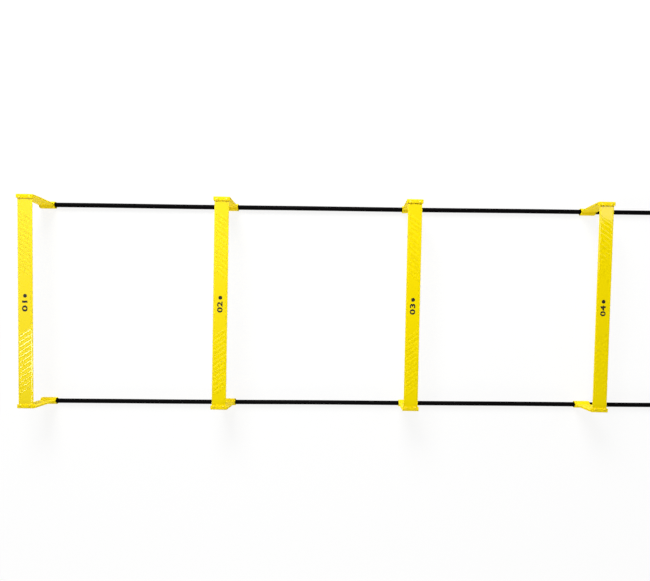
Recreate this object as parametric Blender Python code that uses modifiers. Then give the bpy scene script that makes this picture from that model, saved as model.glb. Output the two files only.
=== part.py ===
"""Raised agility ladder: flat slats on strap legs, whose feet loop round two side ropes.

Metres, +Z up. The ladder runs along X, its slats lie across it along Y, and Z = 0 is the floor.
The origin is on the floor, in the middle of the ladder. A rung is modelled at X = 0 and every
copy of it shares those meshes.
"""

import math

import bmesh
import bpy
from mathutils import Matrix, Vector

# The ladder
RUNG_COUNT = 8
RUNG_PITCH = 0.390  # from one rung to the next, as laid out
RUNG_HEIGHT = 0.100  # from the floor to the top of a slat
RUNG_LENGTH = 0.430  # over the straps at both ends of a slat

# Slat: a flat plastic strip
SLAT_WIDTH = 0.029
SLAT_THICKNESS = 0.003
SLAT_CORNER_RADIUS = 0.002
SLAT_EDGE_RADIUS = 0.0008

# Side rope
ROPE_DIAMETER = 0.010
ROPE_INSET = 0.0035  # from the end of a rung in to the rope's axis
ROPE_END_INSET = 0.002  # from the outer edge of the last strap in to the rope's end

# Leg: one strap, riveted over the slat's end, led down round the rope and up again under the slat
STRAP_WIDTH = 0.033
STRAP_THICKNESS = 0.0018
FLANGE_LENGTH = 0.0064  # how far the strap reaches over and under the slat
LOOP_PLAY = 0.0006  # between the rope and the strap, beside and above it
LOOP_CORNER_RADIUS = 0.004  # beside the flat on which the foot stands
LOOP_NECK_RADIUS = 0.002  # where the two runs of the strap part, just over the rope
INNER_FOLD_RADIUS = 0.0012  # of the middle of the strap, where it turns in under the slat

# Rivet: a plastic one with a head on each side
RIVET_SPACING = 0.019
RIVET_SHANK_DIAMETER = 0.0026
RIVET_HEAD_DIAMETER = 0.0038
RIVET_HEAD_HEIGHT = 0.001

# Fits
SEAT_GAP = 0.0003  # between pieces that touch
RIVET_HOLE_PLAY = 0.0003  # round a rivet's shank
CUTTER_OVERRUN = 0.002

# Facets
FOLD_STEPS = 3
SLAT_CORNER_STEPS = 3
SLAT_EDGE_STEPS = 1
LOOP_CORNER_STEPS = 4
LOOP_TOP_STEPS = 5
LOOP_NECK_STEPS = 3
ROUND_SIDES = 10
ROPE_RESOLUTION = 2  # gives a rope of twelve sides
ROUND_PROFILE = 0.5
RIGHT_ANGLE = math.pi / 2
SHARP_ANGLE = math.radians(35)  # a steeper edge is shaded sharp
MERGE_DISTANCE = SEAT_GAP / 100

YELLOW = (0.93, 0.72, 0.0, 1.0)
DEEP_YELLOW = (0.86, 0.58, 0.0, 1.0)
BLACK = (0.012, 0.012, 0.014, 1.0)

# Heights and places that the sizes above give
half_strap = STRAP_THICKNESS / 2
rope_radius = ROPE_DIAMETER / 2
rope_height = STRAP_THICKNESS + SEAT_GAP + rope_radius
rope_offset = RUNG_LENGTH / 2 - ROPE_INSET
layer_step = STRAP_THICKNESS + SEAT_GAP  # between two runs of the strap that lie together
slat_length = RUNG_LENGTH - 2 * layer_step
slat_bottom = RUNG_HEIGHT - SLAT_THICKNESS
flange_top = RUNG_HEIGHT + SEAT_GAP + STRAP_THICKNESS
flange_bottom = slat_bottom - SEAT_GAP - STRAP_THICKNESS
outer_run_top = (RUNG_LENGTH - STRAP_THICKNESS) / 2
inner_fold_middle = outer_run_top - layer_step - INNER_FOLD_RADIUS
rivet_offset = inner_fold_middle - SEAT_GAP - RIVET_HEAD_DIAMETER / 2  # its lower head clears the fold
ladder_length = (RUNG_COUNT - 1) * RUNG_PITCH


def clear_scene():
    for obj in list(bpy.data.objects):
        bpy.data.objects.remove(obj, do_unlink=True)


def new_collection(name):
    collection = bpy.data.collections.new(name)
    bpy.context.scene.collection.children.link(collection)
    return collection


def new_material(name, colour, roughness, metallic=0.0):
    material = bpy.data.materials.new(name)
    material.use_nodes = True
    shader = material.node_tree.nodes["Principled BSDF"]
    shader.inputs["Base Color"].default_value = colour
    shader.inputs["Roughness"].default_value = roughness
    shader.inputs["Metallic"].default_value = metallic
    material.diffuse_color = colour
    return material


def as_mesh(obj, material):
    """Turns an object, with its modifiers, into a closed mesh in world space, and removes it."""
    bpy.context.view_layer.update()
    graph = bpy.context.evaluated_depsgraph_get()
    mesh = bpy.data.meshes.new_from_object(obj.evaluated_get(graph))
    mesh.transform(obj.matrix_world)
    bpy.data.objects.remove(obj, do_unlink=True)
    shape = bmesh.new()
    shape.from_mesh(mesh)
    bmesh.ops.remove_doubles(shape, verts=shape.verts, dist=MERGE_DISTANCE)
    bmesh.ops.recalc_face_normals(shape, faces=shape.faces)
    shape.to_mesh(mesh)
    shape.free()
    mesh.materials.clear()
    mesh.materials.append(material)
    mesh.shade_smooth()
    mesh.set_sharp_from_angle(angle=SHARP_ANGLE)
    return mesh


def rivet_places():
    """The X, Y places of the four rivets of a rung at X = 0, by side and by end of the strap."""
    for side, across in (("left", 1), ("right", -1)):
        for end, along in (("front", 1), ("back", -1)):
            yield f"{side}_{end}", along * RIVET_SPACING / 2, across * rivet_offset


def drill_for_rivets(obj, cutters):
    """Cuts every rivet's hole through a solid that it meets."""
    height = flange_top - flange_bottom + 2 * CUTTER_OVERRUN
    for name, x, y in rivet_places():
        bpy.ops.mesh.primitive_cylinder_add(
            vertices=ROUND_SIDES,
            radius=RIVET_SHANK_DIAMETER / 2 + RIVET_HOLE_PLAY,
            depth=height,
            location=(x, y, (flange_top + flange_bottom) / 2),
        )
        cutter = bpy.context.object
        cutter.name = f"{obj.name}_hole_{name}"
        cutter.hide_render = True
        cutter.display_type = "WIRE"
        for holder in cutter.users_collection:
            holder.objects.unlink(cutter)
        cutters.objects.link(cutter)
        hole = obj.modifiers.new(f"hole_{name}", "BOOLEAN")
        hole.operation = "DIFFERENCE"
        hole.solver = "EXACT"
        hole.object = cutter


def slat_mesh(material, cutters):
    """A flat strip with rounded corners and edges, drilled for two rivets at each end."""
    bpy.ops.mesh.primitive_cube_add(size=1, location=(0, 0, RUNG_HEIGHT - SLAT_THICKNESS / 2))
    slat = bpy.context.object
    slat.name = "slat_blank"
    slat.scale = (SLAT_WIDTH, slat_length, SLAT_THICKNESS)
    bpy.ops.object.transform_apply(location=False, rotation=False, scale=True)
    shape = bmesh.new()
    shape.from_mesh(slat.data)
    upright = [edge for edge in shape.edges if edge.verts[0].co.xy == edge.verts[1].co.xy]
    bmesh.ops.bevel(
        shape,
        geom=upright,
        offset=SLAT_CORNER_RADIUS,
        segments=SLAT_CORNER_STEPS,
        profile=ROUND_PROFILE,
        affect="EDGES",
    )
    shape.to_mesh(slat.data)
    shape.free()
    edges = slat.modifiers.new("rounded_edges", "BEVEL")
    edges.width = SLAT_EDGE_RADIUS
    edges.segments = SLAT_EDGE_STEPS
    edges.limit_method = "ANGLE"
    edges.angle_limit = RIGHT_ANGLE / 2
    drill_for_rivets(slat, cutters)
    return as_mesh(slat, material)


def arc(centre, radius, start, end, steps):
    """Points round an arc, from one angle in degrees to another, counted from +Y towards +Z."""
    for step in range(steps + 1):
        angle = math.radians(start + (end - start) * step / steps)
        yield centre + radius * Vector((math.cos(angle), math.sin(angle)))


def strap_path():
    """The middle of the left leg's strap, in Y and Z, from its end on the slat round the rope and back."""
    end = slat_length / 2
    loop_half = rope_radius + LOOP_PLAY + half_strap
    top = flange_top - half_strap
    under = flange_bottom + half_strap
    outer_fold = SLAT_EDGE_RADIUS + SEAT_GAP + half_strap
    fold_start = under - INNER_FOLD_RADIUS

    # One side of the loop, from the rope's axis: round the neck, then over the rope to its side.
    neck_across = layer_step / 2 + LOOP_NECK_RADIUS
    neck_up = math.sqrt((loop_half + LOOP_NECK_RADIUS) ** 2 - neck_across**2)
    neck_turn = math.degrees(math.atan2(neck_up, neck_across))
    side = list(arc(Vector((neck_across, neck_up)), LOOP_NECK_RADIUS, 180, 180 + neck_turn, LOOP_NECK_STEPS))
    side += list(arc(Vector((0, 0)), loop_half, neck_turn, 0, LOOP_TOP_STEPS))[1:]
    rope = Vector((rope_offset, rope_height))

    path = [Vector((end - FLANGE_LENGTH, top))]
    path += arc(Vector((outer_run_top - outer_fold, top - outer_fold)), outer_fold, 90, 0, FOLD_STEPS)
    path.append(Vector((outer_run_top, fold_start)))
    path += [rope + point for point in side]
    corner_in, corner_up = loop_half - LOOP_CORNER_RADIUS, half_strap + LOOP_CORNER_RADIUS
    for across, start in ((corner_in, 0), (-corner_in, -90)):
        centre = Vector((rope_offset + across, corner_up))
        path += arc(centre, LOOP_CORNER_RADIUS, start, start - 90, LOOP_CORNER_STEPS)
    path += [rope + Vector((-point.x, point.y)) for point in reversed(side)]
    path += arc(Vector((inner_fold_middle, fold_start)), INNER_FOLD_RADIUS, 0, 90, FOLD_STEPS)
    path.append(Vector((end - FLANGE_LENGTH, under)))
    return path


def ribbon(path, thickness):
    """The outline of a strip that follows a path, with its corners mitred."""
    sides = [], []
    for index, point in enumerate(path):
        before = path[max(index - 1, 0)]
        after = path[min(index + 1, len(path) - 1)]
        steps = [step.normalized() for step in (point - before, after - point) if step.length > 0]
        along = sum(steps, Vector((0, 0))).normalized()
        reach = thickness / 2 / along.dot(steps[0])
        normal = Vector((-along.y, along.x)) * reach
        sides[0].append(point + normal)
        sides[1].append(point - normal)
    return sides[0] + sides[1][::-1]


def leg_mesh(material, cutters):
    """The left leg: the strap's outline in Y and Z, as wide along X as the strap, drilled for its rivets."""
    curve = bpy.data.curves.new("strap_outline", "CURVE")
    curve.dimensions = "2D"
    curve.fill_mode = "BOTH"
    curve.extrude = STRAP_WIDTH / 2
    outline = ribbon(strap_path(), STRAP_THICKNESS)
    spline = curve.splines.new("POLY")
    spline.points.add(len(outline) - 1)
    for point, place in zip(spline.points, outline):
        point.co = (place.x, place.y, 0, 1)
    spline.use_cyclic_u = True
    outline_object = bpy.data.objects.new("strap_outline", curve)
    bpy.context.scene.collection.objects.link(outline_object)
    outline_object.matrix_world = Matrix(((0, 0, 1, 0), (1, 0, 0, 0), (0, 1, 0, 0), (0, 0, 0, 1)))
    strap = bpy.data.objects.new("strap_blank", as_mesh(outline_object, material))
    bpy.context.scene.collection.objects.link(strap)
    drill_for_rivets(strap, cutters)
    return as_mesh(strap, material)


def rivet_mesh(material):
    """A turned rivet on its own axis, whose heads close on the two flanges of a strap."""
    head = RIVET_HEAD_DIAMETER / 2
    shank = RIVET_SHANK_DIAMETER / 2
    upper = flange_top + SEAT_GAP
    lower = flange_bottom - SEAT_GAP
    profile = [
        (0, upper + RIVET_HEAD_HEIGHT),
        (head / 2, upper + RIVET_HEAD_HEIGHT),
        (head, upper),
        (shank, upper),
        (shank, lower),
        (head, lower),
        (head / 2, lower - RIVET_HEAD_HEIGHT),
        (0, lower - RIVET_HEAD_HEIGHT),
    ]
    mesh = bpy.data.meshes.new("rivet_profile")
    pairs = [(index, index + 1) for index in range(len(profile) - 1)]
    mesh.from_pydata([(radius, 0, height) for radius, height in profile], pairs, [])
    blank = bpy.data.objects.new("rivet_blank", mesh)
    bpy.context.scene.collection.objects.link(blank)
    turn = blank.modifiers.new("turned", "SCREW")
    turn.steps = turn.render_steps = ROUND_SIDES
    turn.use_merge_vertices = True
    turn.merge_threshold = MERGE_DISTANCE
    return as_mesh(blank, material)


def rope_mesh(material):
    """A round rope along X, from inside the first strap to inside the last."""
    half_length = (ladder_length + STRAP_WIDTH) / 2 - ROPE_END_INSET
    curve = bpy.data.curves.new("rope_line", "CURVE")
    curve.dimensions = "3D"
    curve.bevel_depth = rope_radius
    curve.bevel_resolution = ROPE_RESOLUTION
    curve.use_fill_caps = True
    spline = curve.splines.new("POLY")
    spline.points.add(1)
    for point, x in zip(spline.points, (-half_length, half_length)):
        point.co = (x, 0, rope_height, 1)
    line = bpy.data.objects.new("rope_line", curve)
    bpy.context.scene.collection.objects.link(line)
    return as_mesh(line, material)


def add_part(name, mesh, ladder, parent, location=(0, 0, 0), turn=0.0):
    part = bpy.data.objects.new(name, mesh)
    part.location = location
    part.rotation_euler = (0, 0, turn)
    part.parent = parent
    ladder.objects.link(part)
    return part


def add_empty(name, ladder, location=(0, 0, 0)):
    empty = bpy.data.objects.new(name, None)
    empty.location = location
    ladder.objects.link(empty)
    return empty


def build_rung(number, meshes, ladder):
    """A rung's pieces, under an empty on the slide's line at that rung's place."""
    x = (number - 1) * RUNG_PITCH - ladder_length / 2
    rung = add_empty(f"rung{number}", ladder, (x, 0, 0))
    add_part(f"rung{number}_slat", meshes["slat"], ladder, rung)
    add_part(f"rung{number}_leg_left", meshes["leg"], ladder, rung)
    add_part(f"rung{number}_leg_right", meshes["leg"], ladder, rung, turn=math.pi)
    for place, along, across in rivet_places():
        add_part(f"rung{number}_rivet_{place}", meshes["rivet"], ladder, rung, (along, across, 0))


def build_ladder():
    clear_scene()
    ladder = new_collection("agility_ladder")
    cutters = new_collection("cutters")
    meshes = {
        "slat": slat_mesh(new_material("slat_plastic", YELLOW, 0.3), cutters),
        "leg": leg_mesh(new_material("strap_plastic", DEEP_YELLOW, 0.45), cutters),
        "rivet": rivet_mesh(new_material("rivet_plastic", DEEP_YELLOW, 0.4)),
        "rope": rope_mesh(new_material("black_rope", BLACK, 0.55)),
    }
    for side, across in (("left", 1), ("right", -1)):
        add_part(f"rope_{side}", meshes["rope"], ladder, None, (0, across * rope_offset, 0))
    for number in range(1, RUNG_COUNT + 1):
        build_rung(number, meshes, ladder)


build_ladder()
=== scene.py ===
# A raised agility ladder: eight yellow slats on strap legs, whose feet loop round two black ropes.
import math
import random
import bpy
from mathutils import Matrix, Vector


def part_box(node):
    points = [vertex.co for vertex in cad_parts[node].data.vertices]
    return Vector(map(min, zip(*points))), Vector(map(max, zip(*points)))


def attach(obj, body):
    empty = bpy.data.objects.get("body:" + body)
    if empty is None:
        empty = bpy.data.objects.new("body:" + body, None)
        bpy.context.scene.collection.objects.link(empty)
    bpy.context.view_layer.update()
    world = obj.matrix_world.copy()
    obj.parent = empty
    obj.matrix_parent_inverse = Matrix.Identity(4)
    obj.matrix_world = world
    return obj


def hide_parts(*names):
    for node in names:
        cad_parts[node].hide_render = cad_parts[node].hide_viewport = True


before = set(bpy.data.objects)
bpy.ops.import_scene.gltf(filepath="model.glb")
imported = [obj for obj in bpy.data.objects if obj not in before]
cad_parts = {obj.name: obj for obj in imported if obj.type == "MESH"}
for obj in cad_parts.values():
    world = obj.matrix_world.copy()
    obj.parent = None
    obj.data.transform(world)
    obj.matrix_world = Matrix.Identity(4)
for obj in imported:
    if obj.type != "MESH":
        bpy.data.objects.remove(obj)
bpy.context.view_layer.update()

# The camera looks down from over the gap between the second and the third rung, a little over
# a metre up, through a moderate wide lens. The picture is cut a little off the lens's middle.
camera_data = bpy.data.cameras.new("camera")
camera_data.sensor_width = 36
camera_data.lens = 32.05
camera_data.shift_x = -0.044
camera_data.shift_y = 0.082
camera = bpy.data.objects.new("camera", camera_data)
camera.location = (-0.726, -0.0343, 1.2752)
camera.rotation_euler = (-0.0376, -0.0177, 0.0097)
bpy.context.scene.collection.objects.link(camera)
bpy.context.scene.camera = camera

# Slats. Each rung is a flat strip moulded in glossy yellow plastic, with rounded edges.
# Two panels of low slanting ribs give grip on both sides of a smooth middle, and two holes
# at each end take the rivets. A dot and the rung's number are printed on the smooth middle.
RUNG_COUNT = 8
EDGE_RADIUS = 0.0008
CORNER_RADIUS = 0.002
RIVET_HOLE_DIAMETER = 0.0032
RIVET_SPACING = 0.019
SMOOTH_ANGLE = math.radians(35)
RIB_SLANT = math.radians(34)
RIB_PITCH = 0.0105
RIB_COUNT = 12
FIRST_RIB = 0.060
RIB_WIDTH = 0.0060
RIB_HEIGHT = 0.00021
RIB_SUNK = 0.00060
RIB_SIDES = 28
RIB_PANEL_WIDTH = 0.0222
RIB_END_SLOPE = 0.0007
RIB_TIP_WIDTH_SHARE = 0.8
RIB_TIP_HEIGHT_SHARE = 0.25
RUNG_TURNS = (-0.31, -0.79, -0.55, -0.66, -0.42, -0.70, -0.28, -0.50)
NUMBER_HEIGHT = 0.011
NUMBER_LENGTH = 0.022
NUMBER_PLACE = -0.0065
NUMBER_SPACING = 1.12
NUMBER_BOLDNESS = 0.035
DOT_DIAMETER = 0.0078
DOT_PLACE = 0.0122
PRINT_THICKNESS = 0.00006
GRAIN_DEPTH = 0.000004
WAVE_DEPTH = 0.00025
INK_GRAIN_DEPTH = 0.000006
YELLOW = (0.94, 0.75, 0.0006, 1)
DEEP_YELLOW = (0.90, 0.69, 0.0004, 1)
INK_BLACK = (0.010, 0.009, 0.008, 1)


def alone(piece):
    """Makes one object the only one that is selected."""
    bpy.ops.object.select_all(action="DESELECT")
    piece.select_set(True)
    bpy.context.view_layer.objects.active = piece


def settle(piece):
    """Moves an object's place, turn and size into its mesh."""
    alone(piece)
    bpy.ops.object.transform_apply(location=True, rotation=True, scale=True)


def join(first, *others):
    """Joins objects into the first one."""
    alone(first)
    for other in others:
        other.select_set(True)
    bpy.ops.object.join()


def edit_edges(piece, wanted):
    """Opens a piece with only the edges selected whose two ends pass a test."""
    alone(piece)
    bpy.ops.object.mode_set(mode="EDIT")
    bpy.ops.mesh.select_mode(type="EDGE")
    bpy.ops.mesh.select_all(action="DESELECT")
    bpy.ops.object.mode_set(mode="OBJECT")
    points = [vertex.co for vertex in piece.data.vertices]
    for edge in piece.data.edges:
        edge.select = wanted(*(points[index] for index in edge.vertices))
    bpy.ops.object.mode_set(mode="EDIT")


def edit_faces(piece, wanted):
    """Opens a piece with only the faces selected whose middle and normal pass a test."""
    alone(piece)
    bpy.ops.object.mode_set(mode="EDIT")
    bpy.ops.mesh.select_mode(type="FACE")
    bpy.ops.mesh.select_all(action="DESELECT")
    bpy.ops.object.mode_set(mode="OBJECT")
    for face in piece.data.polygons:
        face.select = wanted(face.center, face.normal)
    bpy.ops.object.mode_set(mode="EDIT")


def edit_all(piece):
    """Opens a piece with all of it selected."""
    alone(piece)
    bpy.ops.object.mode_set(mode="EDIT")
    bpy.ops.mesh.select_all(action="SELECT")


def close_edit():
    """Leaves edit mode."""
    bpy.ops.object.mode_set(mode="OBJECT")


def modify(piece, kind, **settings):
    """Adds a modifier and applies it."""
    alone(piece)
    modifier = piece.modifiers.new(kind.lower(), kind)
    for name, value in settings.items():
        setattr(modifier, name, value)
    bpy.ops.object.modifier_apply(modifier=modifier.name)


def drill(piece, drills):
    """Cuts the holes of the rivets."""
    modify(piece, "BOOLEAN", operation="DIFFERENCE", object=drills, solver="EXACT")


def smooth(piece, angle):
    """Shades a piece smooth, apart from its edges that are sharper than an angle."""
    alone(piece)
    bpy.ops.object.shade_smooth_by_angle(angle=angle)


def copy_of(blank, name):
    """A new object with its own copy of the blank's mesh."""
    made = blank.copy()
    made.data = blank.data.copy()
    made.name = name
    bpy.context.scene.collection.objects.link(made)
    return made


def coat(piece, finish):
    """Gives a piece one material."""
    piece.data.materials.clear()
    piece.data.materials.append(finish.material)


class Signal:
    """What a node gives out. Sums and products of it add the Math nodes."""

    def __init__(self, wiring, socket):
        self.wiring = wiring
        self.socket = socket

    def other(self, output):
        """Another output of the same node."""
        return Signal(self.wiring, self.socket.node.outputs[output])

    def __add__(self, other):
        return self.wiring.maths("ADD", self, other)

    def __sub__(self, other):
        return self.wiring.maths("SUBTRACT", self, other)

    def __rsub__(self, other):
        return self.wiring.maths("SUBTRACT", other, self)

    def __mul__(self, other):
        return self.wiring.maths("MULTIPLY", self, other)

    def __gt__(self, other):
        return self.wiring.maths("GREATER_THAN", self, other)

    def __lt__(self, other):
        return self.wiring.maths("LESS_THAN", self, other)

    __radd__ = __add__
    __rmul__ = __mul__


class Wiring:
    """The nodes of a material or of the world."""

    def __init__(self, tree):
        self.tree = tree

    def fill(self, node, values):
        """Sets or links a node's sockets."""
        for name, value in values.items():
            if isinstance(value, Signal):
                self.tree.links.new(value.socket, node.inputs[name])
            else:
                node.inputs[name].default_value = value

    def node(self, kind, settings, values, output=0):
        """Adds a node and gives one of its outputs."""
        made = self.tree.nodes.new(kind)
        for name, value in settings.items():
            setattr(made, name, value)
        self.fill(made, values)
        return Signal(self, made.outputs[output])

    def maths(self, operation, *values):
        return self.node("ShaderNodeMath", {"operation": operation}, dict(enumerate(values)))

    def place(self, kind="Object"):
        """Where a point is, counted in one of the piece's own ways."""
        return self.node("ShaderNodeTexCoord", {}, {}, kind)

    def split(self, where):
        """The X of a place. Its Y and Z are the same node's other outputs."""
        return self.node("ShaderNodeSeparateXYZ", {}, {"Vector": where})


class Finish(Wiring):
    """A material. Its fixed values are set on the shader, and what varies comes from nodes."""

    def __init__(self, name, fixed):
        self.material = bpy.data.materials.new(name)
        self.material.use_nodes = True
        super().__init__(self.material.node_tree)
        self.shader = self.tree.nodes["Principled BSDF"]
        self.fill(self.shader, fixed)

    def noise(self, where, scale, detail=2.0, stretch=(1, 1, 1)):
        """Cloudy noise, from 0 to 1, with so many clouds to a metre."""
        mapped = self.node("ShaderNodeMapping", {}, {"Vector": where, "Scale": stretch})
        return self.node("ShaderNodeTexNoise", {}, {"Vector": mapped, "Scale": scale, "Detail": detail})

    def blend(self, share, first, second):
        """A colour between two others. The node's colours are its inputs 6 and 7 and its output 2."""
        return self.node("ShaderNodeMix", {"data_type": "RGBA"}, {0: share, 6: first, 7: second}, 2)

    def bump(self, height, distance, under=None):
        """A height from 0 to 1 as a relief of some depth in metres, on top of another relief."""
        values = {"Height": height, "Distance": distance, "Strength": 1.0}
        if under is not None:
            values["Normal"] = under
        return self.node("ShaderNodeBump", {}, values)


def rung_body(number):
    """The first and the last rung hold the ropes' ends, and the others slide along the ropes."""
    return "ladder" if number in (1, RUNG_COUNT) else f"rung{number}"


def rung_place(number):
    """How far along the ladder a rung stands."""
    low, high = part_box(f"rung{number}_slat")
    return (low.x + high.x) / 2


def rung_turn(number):
    """How far a rung is turned as it lies, because its two feet don't slide quite alike."""
    return math.radians(RUNG_TURNS[number - 1])


def rung_lie(number):
    """Puts what is made at the middle of the ladder in its rung's place, turned as the rung lies."""
    return Matrix.Translation((rung_place(number), 0, 0)) @ Matrix.Rotation(rung_turn(number), 4, "Z")


slat_low, slat_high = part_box("rung1_slat")
slat_size = slat_high - slat_low
slat_top = slat_high.z
slat_middle = (slat_low.z + slat_high.z) / 2
rivet_low, rivet_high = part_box("rung1_rivet_left_front")
rivet_offset = (rivet_low.y + rivet_high.y) / 2

bpy.ops.object.select_all(action="DESELECT")
bpy.ops.mesh.primitive_cube_add(size=1, location=(0, 0, slat_middle), scale=slat_size)
slat = bpy.context.object
settle(slat)
edit_edges(slat, lambda start, end: (start - end).xy.length < EDGE_RADIUS)
bpy.ops.mesh.bevel(offset=CORNER_RADIUS, segments=6, affect="EDGES")
close_edit()
modify(slat, "BEVEL", width=EDGE_RADIUS, segments=4, limit_method="ANGLE", angle_limit=math.radians(50))

# One rib is a flattened bar, sunk in the slat past its middle. It is cut off at the panel's
# margins, where its ends slope down, set out along one half and mirrored to the other.
rib_radius = RIB_HEIGHT + RIB_SUNK
rib_spread = RIB_WIDTH / 2 / math.sqrt(1 - (RIB_SUNK / rib_radius) ** 2)
bpy.ops.object.select_all(action="DESELECT")
bpy.ops.mesh.primitive_cylinder_add(
    vertices=RIB_SIDES,
    radius=1,
    depth=1,
    location=(0, -FIRST_RIB, slat_top - RIB_SUNK),
    rotation=(0, math.pi / 2, RIB_SLANT),
    scale=(rib_radius, rib_spread, RIB_PANEL_WIDTH * 2),
)
ribs = bpy.context.object
settle(ribs)
margin = RIB_PANEL_WIDTH / 2
for place, cut in ((margin, True), (margin - RIB_END_SLOPE, False)):
    for side in (1, -1):
        edit_all(ribs)
        bpy.ops.mesh.bisect(
            plane_co=(side * place, 0, 0), plane_no=(side, 0, 0), use_fill=cut, clear_outer=cut
        )
        close_edit()
for side in (1, -1):
    edit_faces(ribs, lambda middle, normal: normal.x * side > 0.99)
    bpy.ops.mesh.extrude_region_move(TRANSFORM_OT_translate={"value": (side * RIB_END_SLOPE, 0, 0)})
    bpy.ops.transform.resize(value=(1, RIB_TIP_WIDTH_SHARE, RIB_TIP_HEIGHT_SHARE))
    close_edit()
modify(
    ribs,
    "ARRAY",
    count=RIB_COUNT,
    use_relative_offset=False,
    use_constant_offset=True,
    constant_offset_displace=(0, -RIB_PITCH, 0),
)
modify(ribs, "MIRROR", use_axis=(False, True, False))
modify(slat, "BOOLEAN", operation="UNION", object=ribs, solver="EXACT")
ribs_reach = margin + RIB_END_SLOPE


def at_rib_foot(point):
    """Whether a point of the slat lies on its flat top, on the panels of ribs."""
    return abs(point.z - slat_top) < 1e-6 and abs(point.x) < ribs_reach


edit_edges(slat, lambda start, end: at_rib_foot(start) and at_rib_foot(end))
bpy.ops.mesh.mark_sharp()
close_edit()

bores = []
for along in (-1, 1):
    for across in (-1, 1):
        bpy.ops.object.select_all(action="DESELECT")
        bpy.ops.mesh.primitive_cylinder_add(
            vertices=24,
            radius=RIVET_HOLE_DIAMETER / 2,
            depth=slat_size.z * 6,
            location=(along * RIVET_SPACING / 2, across * rivet_offset, slat_middle),
        )
        bores.append(bpy.context.object)
drills = bores[0]
join(*bores)
settle(drills)
drill(slat, drills)

gloss = Finish("glossy_yellow_plastic", {"IOR": 1.5})
where = gloss.place()
clouds = gloss.noise(where, 14.0, 3.0)
flow = gloss.noise(where, 90.0, 3.0, (1, 0.08, 1))
grain = gloss.noise(where, 1400.0, 2.0)
waves = gloss.noise(where, 26.0, 1.0, (1, 0.5, 1))
scuffs = gloss.noise(where, 420.0, 4.0, (1, 0.05, 1)) > 0.66
gloss.fill(
    gloss.shader,
    {
        "Base Color": gloss.blend(clouds * 0.5 + flow * 0.2, YELLOW, DEEP_YELLOW),
        "Roughness": clouds * 0.03 + scuffs * 0.03 + 0.04,
        "Normal": gloss.bump(grain, GRAIN_DEPTH, gloss.bump(waves, WAVE_DEPTH)),
    },
)
ink = Finish("black_print", {"IOR": 1.45})
specks = ink.noise(ink.place(), 2600.0, 3.0)
ink.fill(
    ink.shader,
    {
        "Base Color": ink.blend(specks > 0.69, INK_BLACK, DEEP_YELLOW),
        "Roughness": specks * 0.2 + 0.35,
        "Normal": ink.bump(specks, INK_GRAIN_DEPTH),
    },
)
coat(slat, gloss)

# The number is set in type, made a mesh and brought to its real size. Its dot lies above it.
for number in range(1, RUNG_COUNT + 1):
    piece = copy_of(slat, f"slat_{number}")
    bpy.ops.object.select_all(action="DESELECT")
    bpy.ops.object.text_add(location=(0, NUMBER_PLACE, slat_top), rotation=(0, 0, math.pi / 2))
    label = bpy.context.object
    label.data.body = f"{number:02d}"
    label.data.align_x = "CENTER"
    label.data.align_y = "CENTER"
    label.data.space_character = NUMBER_SPACING
    label.data.bevel_depth = NUMBER_BOLDNESS
    label.data.bevel_resolution = 0
    label.data.extrude = 0.5
    alone(label)
    bpy.ops.object.convert(target="MESH")
    wide, high, thick = label.dimensions
    label.scale = (NUMBER_LENGTH / wide, NUMBER_HEIGHT / high, PRINT_THICKNESS / thick)
    settle(label)
    coat(label, ink)
    bpy.ops.object.select_all(action="DESELECT")
    bpy.ops.mesh.primitive_cylinder_add(
        vertices=32, radius=DOT_DIAMETER / 2, depth=PRINT_THICKNESS, location=(0, DOT_PLACE, slat_top)
    )
    dot = bpy.context.object
    settle(dot)
    coat(dot, ink)
    join(piece, label, dot)
    piece.data.transform(rung_lie(number))
    smooth(piece, SMOOTH_ANGLE)
    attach(piece, rung_body(number))
    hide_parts(f"rung{number}_slat")

# Leg straps. Each leg is one stiff woven strap. It is folded over the slat's end, led down
# round the rope and up again under the slat, and sewn across just over the rope, so that its
# foot is a snug sleeve. Its two flat ends are riveted together through the slat.
STRAP_WIDTH = 0.033
STRAP_THICKNESS = 0.0018
SEAT_GAP = 0.0003
FLANGE_LENGTH = 0.0064
LOOP_PLAY = 0.0006
LOOP_CORNER_RADIUS = 0.004
LOOP_NECK_RADIUS = 0.002
INNER_FOLD_RADIUS = 0.0012
ROPE_RADIUS = 0.005
ROPE_INSET = 0.0035
RUNG_LENGTH = 0.430
STRAP_FACES_ACROSS = 14
FLANGE_STEPS = 4
FOLD_STEPS = 8
CORNER_STEPS = 10
NECK_STEPS = 6
LOOP_TOP_STEPS = 14
RUN_STEPS = 16
SELVEDGE_RADIUS = 0.0007
# The width of the band along each edge of the strap that is raised in relief and painted lighter, a painted
# highlight.
SELVEDGE_AND_HIGHLIGHT_WIDTH = 0.0016
THREADS_ACROSS = 30
THREAD_STEP = 0.0011
STITCH_HEIGHT = 0.0180
STITCH_LENGTH = 0.0032
STITCH_THICKNESS = 0.0007
STITCH_STEP = 0.0043
STITCH_COUNT = 7
WEAVE_DEPTH = 0.00014
TWIST_DEPTH = 0.00005
CREASE_DEPTH = 0.0005
CREASE_COUNT = 2.6
FOOT_SKEW = 0.0012
LEG_BOW = 0.0006
STRAP_YELLOW = (0.94, 0.75, 0.003, 1)
STRAP_DEEP = (0.88, 0.64, 0.002, 1)
THREAD_YELLOW = (0.92, 0.72, 0.01, 1)

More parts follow.
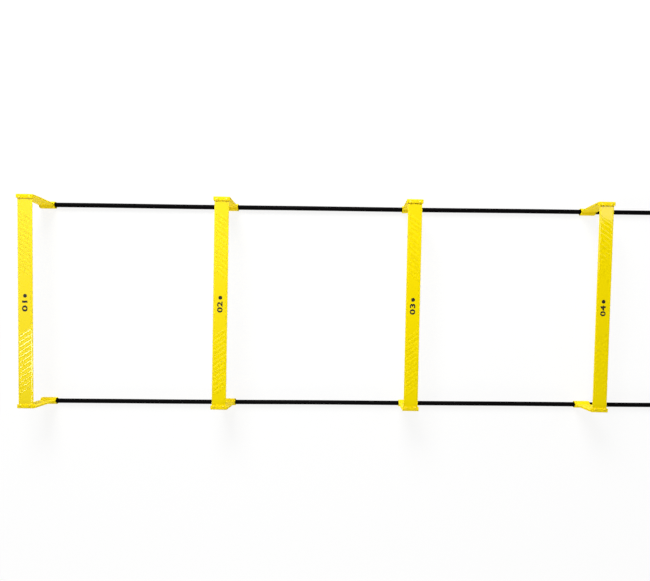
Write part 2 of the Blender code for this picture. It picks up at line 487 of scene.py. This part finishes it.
half_strap = STRAP_THICKNESS / 2
layer_step = STRAP_THICKNESS + SEAT_GAP
rope_height = layer_step + ROPE_RADIUS
rope_offset = RUNG_LENGTH / 2 - ROPE_INSET
slat_end = RUNG_LENGTH / 2 - layer_step
flange_end = slat_end - FLANGE_LENGTH
flange_top = slat_top + SEAT_GAP + half_strap
flange_bottom = slat_low.z - SEAT_GAP - half_strap
outer_run = RUNG_LENGTH / 2 - half_strap
outer_fold = EDGE_RADIUS + SEAT_GAP + half_strap
inner_run = outer_run - layer_step
inner_fold = inner_run - INNER_FOLD_RADIUS
fold_start = flange_bottom - INNER_FOLD_RADIUS
loop_half = ROPE_RADIUS + LOOP_PLAY + half_strap
closed_half = layer_step / 2
neck_across = closed_half + LOOP_NECK_RADIUS
neck_up = math.sqrt((loop_half + LOOP_NECK_RADIUS) ** 2 - neck_across**2)
neck_turn = math.degrees(math.atan2(neck_up, neck_across))
neck_height = rope_height + neck_up


def arc(across, up, radius, start, end, steps):
    """Points round an arc, from one angle in degrees to another, counted from +Y towards +Z."""
    for step in range(steps + 1):
        angle = math.radians(start + (end - start) * step / steps)
        yield across + radius * math.cos(angle), up + radius * math.sin(angle)


def even(start, end, steps):
    """Points along a straight line, without its last."""
    for step in range(steps):
        yield tuple(a + (b - a) * step / steps for a, b in zip(start, end))


def loop_side():
    """One side of the loop, round its neck and over the rope, down to the rope's middle height."""
    yield from list(arc(neck_across, neck_height, LOOP_NECK_RADIUS, 180, 180 + neck_turn, NECK_STEPS))[:-1]
    yield from arc(0, rope_height, loop_half, neck_turn, 0, LOOP_TOP_STEPS)


def strap_line():
    """The middle of a left strap, in Y and Z, from its end on the slat round the rope and back."""
    yield from even((flange_end, flange_top), (outer_run - outer_fold, flange_top), FLANGE_STEPS)
    yield from arc(outer_run - outer_fold, flange_top - outer_fold, outer_fold, 90, 0, FOLD_STEPS)
    yield from even((outer_run, fold_start), (rope_offset + closed_half, neck_height), RUN_STEPS)
    for half, height in loop_side():
        yield rope_offset + half, height
    corner_in, corner_up = loop_half - LOOP_CORNER_RADIUS, half_strap + LOOP_CORNER_RADIUS
    for across, start in ((corner_in, 0), (-corner_in, -90)):
        yield from arc(rope_offset + across, corner_up, LOOP_CORNER_RADIUS, start, start - 90, CORNER_STEPS)
    for half, height in list(loop_side())[:0:-1]:
        yield rope_offset - half, height
    yield from even((rope_offset - closed_half, neck_height), (inner_run, fold_start), RUN_STEPS)
    yield from arc(inner_fold, fold_start, INNER_FOLD_RADIUS, 0, 90, FOLD_STEPS)
    yield from list(even((flange_end, flange_bottom), (inner_fold, flange_bottom), FLANGE_STEPS))[::-1]


# The strap starts as one row of faces, whose far edge is drawn out along the line.
line = list(strap_line())
bpy.ops.object.select_all(action="DESELECT")
bpy.ops.mesh.primitive_grid_add(x_subdivisions=STRAP_FACES_ACROSS, y_subdivisions=1, size=STRAP_WIDTH)
strap = bpy.context.object
settle(strap)
near = [vertex.index for vertex in strap.data.vertices if vertex.co.y < 0]
far = [vertex.index for vertex in strap.data.vertices if vertex.co.y > 0]
for row, (across, up) in ((near, line[0]), (far, line[1])):
    for index in row:
        strap.data.vertices[index].co.yz = across, up
edit_edges(strap, lambda start, end: start.y > (line[0][0] + line[1][0]) / 2 and start.y == end.y)
for before, after in zip(line[1:], line[2:]):
    step = (0, after[0] - before[0], after[1] - before[1])
    bpy.ops.mesh.extrude_region_move(TRANSFORM_OT_translate={"value": step})
close_edit()
# Its UV map is its own cloth, in metres: across the strap, and along it.
row_size = STRAP_FACES_ACROSS + 1
rows = [near, far]
for first in range(2 * row_size, len(strap.data.vertices), row_size):
    rows.append(range(first, first + row_size))
along = {}
length = 0.0
for before, after, row in zip([line[0]] + line[:-1], line, rows):
    length += (Vector(after) - Vector(before)).length
    for index in row:
        along[index] = length
cloth = strap.data.uv_layers.active or strap.data.uv_layers.new()
for corner in strap.data.loops:
    point = strap.data.vertices[corner.vertex_index]
    cloth.data[corner.index].uv = point.co.x, along[point.index]
modify(strap, "SOLIDIFY", thickness=STRAP_THICKNESS, offset=0, use_even_offset=True)
modify(
    strap,
    "BEVEL",
    width=SELVEDGE_RADIUS,
    segments=3,
    limit_method="ANGLE",
    angle_limit=math.radians(60),
)
edit_all(strap)
bpy.ops.mesh.normals_make_consistent(inside=False)
close_edit()
drill(strap, drills)

# The seam's stitches lie in one row on each side of the strap.
lean = (outer_run - closed_half - rope_offset) / (fold_start - neck_height)
seam_middle = rope_offset + lean * (STITCH_HEIGHT - neck_height)
stitches = []
for side in (1, -1):
    for count in range(STITCH_COUNT):
        bpy.ops.object.select_all(action="DESELECT")
        bpy.ops.mesh.primitive_uv_sphere_add(
            segments=8,
            ring_count=6,
            radius=0.5,
            location=(
                (count - (STITCH_COUNT - 1) / 2) * STITCH_STEP,
                seam_middle + side * (closed_half + half_strap),
                STITCH_HEIGHT,
            ),
            rotation=(0, math.pi / 2, 0),
            scale=(STITCH_THICKNESS, STITCH_THICKNESS, STITCH_LENGTH),
        )
        stitches.append(bpy.context.object)
seam = stitches[0]
join(*stitches)
settle(seam)

webbing = Finish("yellow_webbing", {"IOR": 1.45, "Specular IOR Level": 0.1})
across = webbing.split(webbing.place("UV"))
warp = webbing.maths("SINE", across * (math.pi * THREADS_ACROSS / STRAP_WIDTH))
weft = webbing.maths("SINE", across.other("Y") * (math.pi / THREAD_STEP))
weave = warp * weft * 0.5 + 0.5
# Each edge of the strap has a band raised in relief, and painted lighter in colour: a painted highlight
# along the strap's edges.
selvedge_and_painted_highlight = webbing.maths("ABSOLUTE", across) > STRAP_WIDTH / 2 - SELVEDGE_AND_HIGHLIGHT_WIDTH
dust = webbing.noise(webbing.place(), 30.0, 4.0)
webbing.fill(
    webbing.shader,
    {
        "Base Color": webbing.blend(weave * 0.6 + dust * 0.25 - selvedge_and_painted_highlight * 0.3, STRAP_YELLOW, STRAP_DEEP),
        "Roughness": dust * 0.15 + 0.48,
        "Normal": webbing.bump(weave + selvedge_and_painted_highlight * 0.8, WEAVE_DEPTH),
    },
)
thread = Finish("yellow_thread", {"IOR": 1.45, "Roughness": 0.6})
twist = thread.noise(thread.place(), 3000.0, 1.0)
thread.fill(
    thread.shader,
    {
        "Base Color": thread.blend(twist, THREAD_YELLOW, STRAP_YELLOW),
        "Normal": thread.bump(twist, TWIST_DEPTH),
    },
)
coat(strap, webbing)
coat(seam, thread)
join(strap, seam)

# No two legs hang quite alike: each foot stands a little to one side, and each leg is bowed
# and creased a little along its length. Its top turns with the rung, and its foot stays
# straight on the rope.
chance = random.Random(8)
for number in range(1, RUNG_COUNT + 1):
    for name, turn in (("left", 0), ("right", math.pi)):
        piece = copy_of(strap, f"strap_{number}_{name}")
        skew = chance.uniform(-FOOT_SKEW, FOOT_SKEW)
        bow = chance.uniform(-LEG_BOW, LEG_BOW)
        crease = chance.uniform(0.5, 1.0) * CREASE_DEPTH
        start = chance.uniform(0, math.tau)
        lie = rung_turn(number)
        for vertex in piece.data.vertices:
            x, y, z = vertex.co
            drop = min(max(1 - z / fold_start, 0), 1)
            span = min(max((z - neck_height) / (fold_start - neck_height), 0), 1)
            slack = math.sin(math.pi * span)
            ripple = math.sin(start + math.tau * CREASE_COUNT * x / STRAP_WIDTH)
            vertex.co.x += skew * drop - lie * (rope_offset + span * (y - rope_offset))
            vertex.co.y += slack * (bow + crease * ripple) + lie * x * span
        place = Matrix.Translation((rung_place(number), 0, 0)) @ Matrix.Rotation(turn, 4, "Z")
        piece.data.transform(place)
        smooth(piece, SMOOTH_ANGLE)
        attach(piece, rung_body(number))
        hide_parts(f"rung{number}_leg_{name}")

# Rivets. Four plastic rivets hold each rung, two through the flat ends of each strap and the
# slat between them. A rivet is a shank with a low domed head on each side.
RIVET_SHANK_RADIUS = 0.0013
RIVET_HEAD_HEIGHT = 0.001
RIVET_SIDES = 24
RIVET_EDGE_RADIUS = 0.0001
RIVET_SMOOTH_ANGLE = math.radians(40)
FROST_DEPTH = 0.000015
RIVET_YELLOW = (0.92, 0.70, 0.002, 1)
# A head rises straight for a share of its height, then in steps, each a width and a rise.
RIM_SHARE = 0.15
DOME_STEPS = ((0.94, 0.30), (0.80, 0.27), (0.58, 0.18), (0.30, 0.10))

rivet_size = rivet_high - rivet_low
head_spread = rivet_size.x / 2 / RIVET_SHANK_RADIUS
bpy.ops.object.select_all(action="DESELECT")
bpy.ops.mesh.primitive_cylinder_add(
    vertices=RIVET_SIDES,
    radius=RIVET_SHANK_RADIUS,
    depth=rivet_size.z - RIVET_HEAD_HEIGHT * 2,
    location=(0, 0, (rivet_low.z + rivet_high.z) / 2),
)
rivet = bpy.context.object
settle(rivet)
for side in (1, -1):
    edit_faces(rivet, lambda middle, normal: normal.z * side > 0.9)
    bpy.ops.mesh.extrude_region_move()
    bpy.ops.transform.resize(value=(head_spread, head_spread, 1))
    rise = RIVET_HEAD_HEIGHT * side
    bpy.ops.mesh.extrude_region_move(TRANSFORM_OT_translate={"value": (0, 0, rise * RIM_SHARE)})
    width = 1.0
    for narrower, share in DOME_STEPS:
        bpy.ops.mesh.extrude_region_move(TRANSFORM_OT_translate={"value": (0, 0, rise * share)})
        bpy.ops.transform.resize(value=(narrower / width, narrower / width, 1))
        width = narrower
    close_edit()
modify(
    rivet,
    "BEVEL",
    width=RIVET_EDGE_RADIUS,
    segments=2,
    limit_method="ANGLE",
    angle_limit=math.radians(60),
)

nylon = Finish("yellow_nylon", {"IOR": 1.52})
frost = nylon.noise(nylon.place(), 2200.0, 3.0)
nylon.fill(
    nylon.shader,
    {
        "Base Color": nylon.blend(frost * 0.6, RIVET_YELLOW, STRAP_DEEP),
        "Roughness": frost * 0.15 + 0.30,
        "Normal": nylon.bump(frost, FROST_DEPTH),
    },
)
coat(rivet, nylon)
for number in range(1, RUNG_COUNT + 1):
    for side in ("left", "right"):
        for end in ("front", "back"):
            node = f"rung{number}_rivet_{side}_{end}"
            low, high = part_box(node)
            middle = (low + high) / 2
            piece = copy_of(rivet, f"rivet_{number}_{side}_{end}")
            place = Matrix.Translation((middle.x - rung_place(number), middle.y, 0))
            piece.data.transform(rung_lie(number) @ place)
            smooth(piece, RIVET_SMOOTH_ANGLE)
            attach(piece, rung_body(number))
            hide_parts(node)

# Side ropes. Two black cords run the whole ladder through the straps' feet. Each is a soft
# core in a tight plaited sheath, and its ends are melted round so that they don't fray.
ROPE_POINTS = 420
ROPE_SIDE_STEPS = 6
ROPE_SMOOTH_ANGLE = math.radians(40)
MEANDER = 0.00025
END_ROUND = 0.004
END_SHARE = 0.13
SHEATH_SHARE = 0.85
STRANDS = 16
PLAIT_LENGTH = 0.010
PLAIT_DEPTH = 0.00025
ROPE_BLACK = (0.0007, 0.0006, 0.0007, 1)
ROPE_GREY = (0.0024, 0.0018, 0.0024, 1)

cord = Finish("black_plaited_sheath", {"IOR": 1.45, "Specular IOR Level": 0.03})
around = cord.split(cord.place("UV"))
rope_low, rope_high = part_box("rope_left")
rope_length = rope_high.x - rope_low.x


def strands(lean):
    """The strands that wind one way round the rope, as a wave from -1 to 1."""
    forward = around * (math.tau * rope_length / PLAIT_LENGTH)
    sideways = around.other("Y") * (lean * math.pi * STRANDS)
    return cord.maths("SINE", forward + sideways)


plait = strands(1) * strands(-1) * 0.5 + 0.5
fuzz = cord.noise(cord.place(), 2500.0, 3.0)
cord.fill(
    cord.shader,
    {
        "Base Color": cord.blend(plait * 0.6 + fuzz * 0.3, ROPE_BLACK, ROPE_GREY),
        "Roughness": fuzz * 0.15 + 0.42,
        "Normal": cord.bump(plait + fuzz * 0.3, PLAIT_DEPTH),
    },
)
for name in ("left", "right"):
    low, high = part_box(f"rope_{name}")
    middle = (low + high) / 2
    guide = bpy.data.curves.new(f"rope_{name}_guide", "CURVE")
    guide.dimensions = "3D"
    guide.bevel_depth = ROPE_RADIUS
    guide.bevel_resolution = ROPE_SIDE_STEPS
    guide.use_fill_caps = True
    # The rope wanders a quarter of a millimetre, in long uneven waves, and its ends are round.
    spline = guide.splines.new("POLY")
    spline.points.add(ROPE_POINTS - 1)
    for index, point in enumerate(spline.points):
        x = low.x + (high.x - low.x) * index / (ROPE_POINTS - 1)
        side = MEANDER * (math.sin(x * 5.1 + middle.y * 9) + 0.6 * math.sin(x * 13.7))
        lift = MEANDER * 0.8 * (1 + math.sin(x * 8.3 + middle.y * 5))
        point.co = (x, middle.y + side, middle.z + lift, 1)
        to_end = min((x - low.x) / END_ROUND, (high.x - x) / END_ROUND, 1)
        point.radius = END_SHARE + SHEATH_SHARE * math.sqrt(1 - (1 - to_end) ** 2)
    rope = bpy.data.objects.new(f"rope_{name}_sheath", guide)
    bpy.context.scene.collection.objects.link(rope)
    alone(rope)
    bpy.ops.object.convert(target="MESH")
    rope = bpy.context.object
    coat(rope, cord)
    smooth(rope, ROPE_SMOOTH_ANGLE)
    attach(rope, "ladder")
    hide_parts(f"rope_{name}")

for blank in (slat, ribs, drills, strap, rivet):
    bpy.data.objects.remove(blank)

# The room. The ladder lies on a plain white floor, in a room that is bright round the sides
# and dim overhead, and paler towards its upper left corner, where the main light stands too.
# A smaller one lights the far end. Two bright panels overhead glare on the first slat's lower
# ribs and on the fourth's end.
FLOOR_SIZE = 30.0
FLOOR_DROP = 0.0002
FLOOR_GLOW = 0.84
FLOOR_BRIGHTNESS = 1.04
FLOOR_WHITE = (0.85, 0.85, 0.85, 1)
SIDE_LIGHT = 1.00
CEILING_LIGHT = 0.02
CEILING_EDGE = 0.8
SIDES_TOP = 0.3
PALE_CORNER_LEAN = 0.65
PALE_CORNER_REACH = 0.12
PALE_CORNER_GAIN = 3.5
PALE_CORNER_LIGHT = 1.15

bpy.ops.object.select_all(action="DESELECT")
bpy.ops.mesh.primitive_plane_add(size=FLOOR_SIZE, location=(0, 0, -FLOOR_DROP))
floor = bpy.context.object
floor.name = "floor"
paper = Finish("white_floor", {})
paper.tree.nodes.remove(paper.shader)
seen = paper.node("ShaderNodeLightPath", {}, {}, "Is Camera Ray")
shown = paper.maths("MINIMUM", seen + seen.other("Is Glossy Ray") + seen.other("Is Transmission Ray"), 1.0)
lit = paper.node("ShaderNodeBsdfDiffuse", {}, {"Color": FLOOR_WHITE})
glow = paper.node("ShaderNodeEmission", {}, {"Strength": FLOOR_BRIGHTNESS})
mixed = paper.node("ShaderNodeMixShader", {}, {0: shown * FLOOR_GLOW, 1: lit, 2: glow})
paper.fill(paper.tree.nodes["Material Output"], {"Surface": mixed})
floor.data.materials.append(paper.material)

world = bpy.data.worlds.new("white_room")
bpy.context.scene.world = world
world.use_nodes = True
air = Wiring(world.node_tree)
right = air.split(air.place("Generated"))
up = right.other("Z")
side_light = air.node(
    "ShaderNodeMapRange",
    {"interpolation_type": "SMOOTHSTEP"},
    {
        "Value": up,
        "From Min": 0.0,
        "From Max": CEILING_EDGE,
        "To Min": SIDE_LIGHT,
        "To Max": CEILING_LIGHT,
    },
)
towards = air.maths("MAXIMUM", right.other("Y") - right * PALE_CORNER_LEAN + PALE_CORNER_REACH, 0.0)
corner_light = air.maths("MINIMUM", towards * towards * PALE_CORNER_GAIN, PALE_CORNER_LIGHT)
ray = air.node("ShaderNodeLightPath", {}, {}, "Is Camera Ray")
mirrored = ray.other("Is Glossy Ray") + ray.other("Is Transmission Ray")
room_light = air.maths("MAXIMUM", side_light, corner_light * mirrored)
white = air.maths("MINIMUM", ray + mirrored * (up < SIDES_TOP), 1.0)
air.fill(
    world.node_tree.nodes["Background"],
    {"Color": (1, 1, 1, 1), "Strength": white * (1 - room_light) + room_light},
)


def softbox(name, place, aim, size, watts):
    """A bright panel that the camera doesn't see, turned towards a point."""
    data = bpy.data.lights.new(name, "AREA")
    data.shape = "RECTANGLE"
    data.size, data.size_y = size
    data.energy = watts
    lamp = bpy.data.objects.new(name, data)
    lamp.location = place
    lamp.rotation_euler = (Vector(aim) - Vector(place)).to_track_quat("-Z", "Y").to_euler()
    lamp.visible_camera = False
    bpy.context.scene.collection.objects.link(lamp)


softbox("key", (-1.1, 1.5, 1.5), aim=(-0.9, 0.0, 0.0), size=(1.0, 1.0), watts=49)
softbox("key_far", (1.3, 0.8, 0.75), aim=(1.2, 0.0, 0.1), size=(0.8, 0.8), watts=5.5)
softbox("fill_front", (-0.6, -3.0, 0.9), aim=(-0.6, 0.0, 0.0), size=(3.0, 1.0), watts=36)
softbox("panel_first_slat", (-2.37, -0.53, 2.6), aim=(-2.37, -0.53, 0.0), size=(0.46, 0.46), watts=6.2)
softbox("panel_fourth_slat", (0.95, 0.88, 2.6), aim=(0.95, 0.88, 0.0), size=(0.5, 0.5), watts=2.0)

bpy.context.scene.view_settings.view_transform = "Standard"
